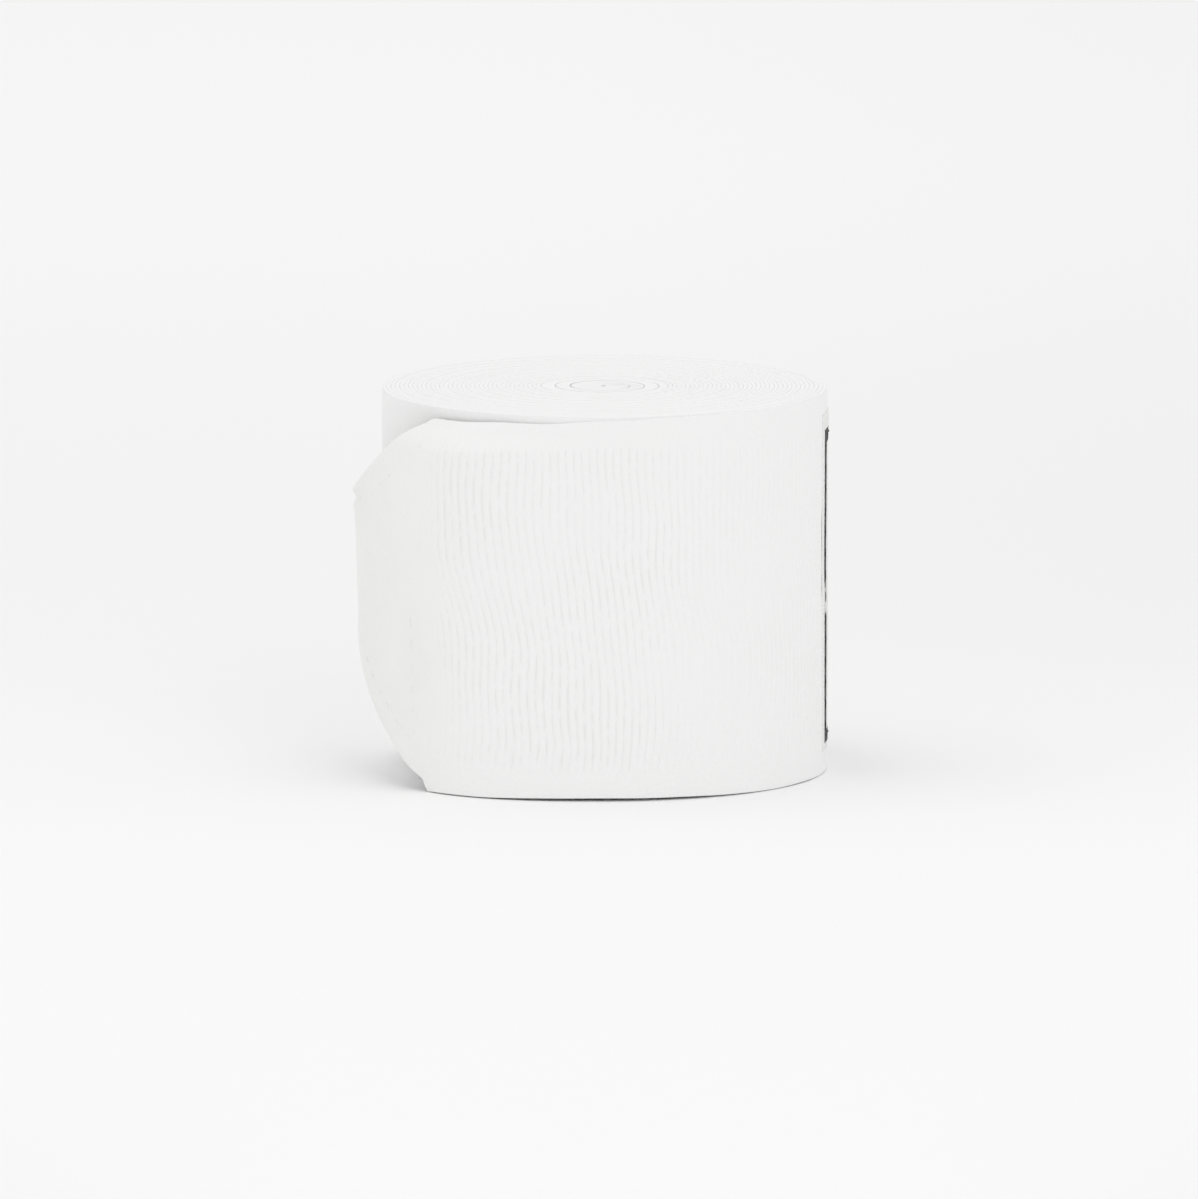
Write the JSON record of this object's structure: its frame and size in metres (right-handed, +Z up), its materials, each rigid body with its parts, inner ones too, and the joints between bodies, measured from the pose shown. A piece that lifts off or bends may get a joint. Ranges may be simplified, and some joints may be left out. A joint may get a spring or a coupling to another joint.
{
  "type": "rolled hand wrap",
  "caption": "Rolled cotton boxing hand wrap on its edge, with a peelable hook-and-loop closure flap, a thumb loop at the core and a sewn label.",
  "frame": {"origin": "on the axis of the roll, in the plane that the roll stands on", "axes": "+Z up along the roll's axis; -Y towards the front, where the closure flap leaves the roll; the flap runs to -X"},
  "size_m": [0.0613, 0.0584, 0.05],
  "materials": {
    "band_cotton": "matt woven cotton with fine cross ribs",
    "hook_tape": "nylon hook tape",
    "loop_tape": "brushed nylon loop pile",
    "thumb_tape": "plain woven cotton tape",
    "thread": "white sewing thread",
    "label": "woven satin label, white with a plain black border",
    "label_thread": "black sewing thread"
  },
  "bodies": {
    "roll": {"wound_band": "band_cotton", "loop_tape": "loop_tape", "loop_tape_seam": "thread", "thumb_loop": "thumb_tape", "thumb_bartack": "thread", "label": "label", "label_seam": "label_thread"},
    "flap_base": {"flap_base": "band_cotton"},
    "flap_middle": {"flap_middle": "band_cotton"},
    "tongue": {"closure_tongue": "band_cotton", "hook_tape": "hook_tape", "hook_tape_seam": "thread"}
  },
  "joints": [
    {"name": "flap_lift", "type": "hinge", "parent": "roll", "child": "flap_base", "pos_m": [-0.00015, -0.0293, 0.025], "axis": [0, 0, 1], "range_deg": [0, 45]},
    {"name": "flap_peel", "type": "hinge", "parent": "flap_base", "child": "flap_middle", "pos_m": [-0.00953, -0.02881, 0.025], "axis": [0, 0, 1], "range_deg": [0, 45]},
    {"name": "tongue_peel", "type": "hinge", "parent": "flap_middle", "child": "tongue", "pos_m": [-0.01881, -0.0256, 0.025], "axis": [0, 0, 1], "range_deg": [0, 45]}
  ]
}
